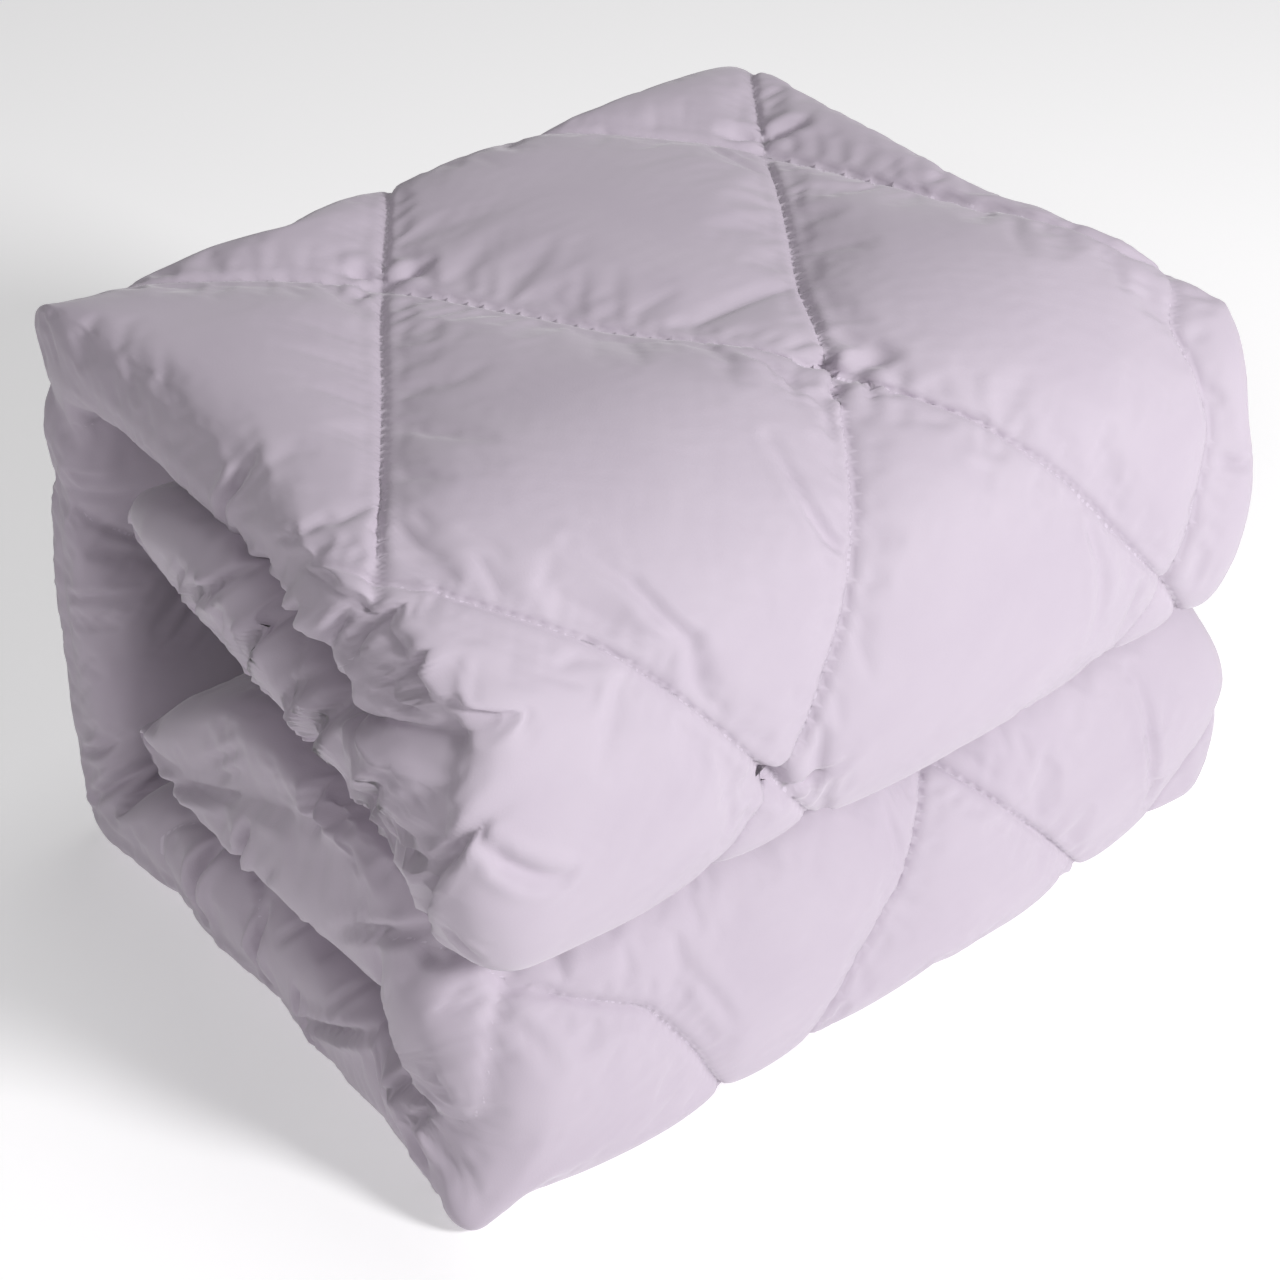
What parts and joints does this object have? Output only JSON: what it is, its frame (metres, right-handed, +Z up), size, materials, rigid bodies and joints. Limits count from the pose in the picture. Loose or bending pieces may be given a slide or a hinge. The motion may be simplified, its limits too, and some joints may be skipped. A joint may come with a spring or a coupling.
{
  "type": "folded quilt",
  "caption": "Thick diamond-quilted duvet folded in the book way into a block, with rounded front rolls, a flat spine and free edges turned in.",
  "frame": {"origin": "under the middle of the folded bundle, on the surface it rests on", "axes": "+X along the folds, +Y from the rounded front rolls to the flat spine, +Z up"},
  "size_m": [0.6096, 0.4618, 0.3995],
  "materials": {
    "cover_cloth": "matt, brushed plain-weave microfibre, pale lilac grey"
  },
  "bodies": {
    "root": {"quilt": "cover_cloth"}
  },
  "joints": []
}
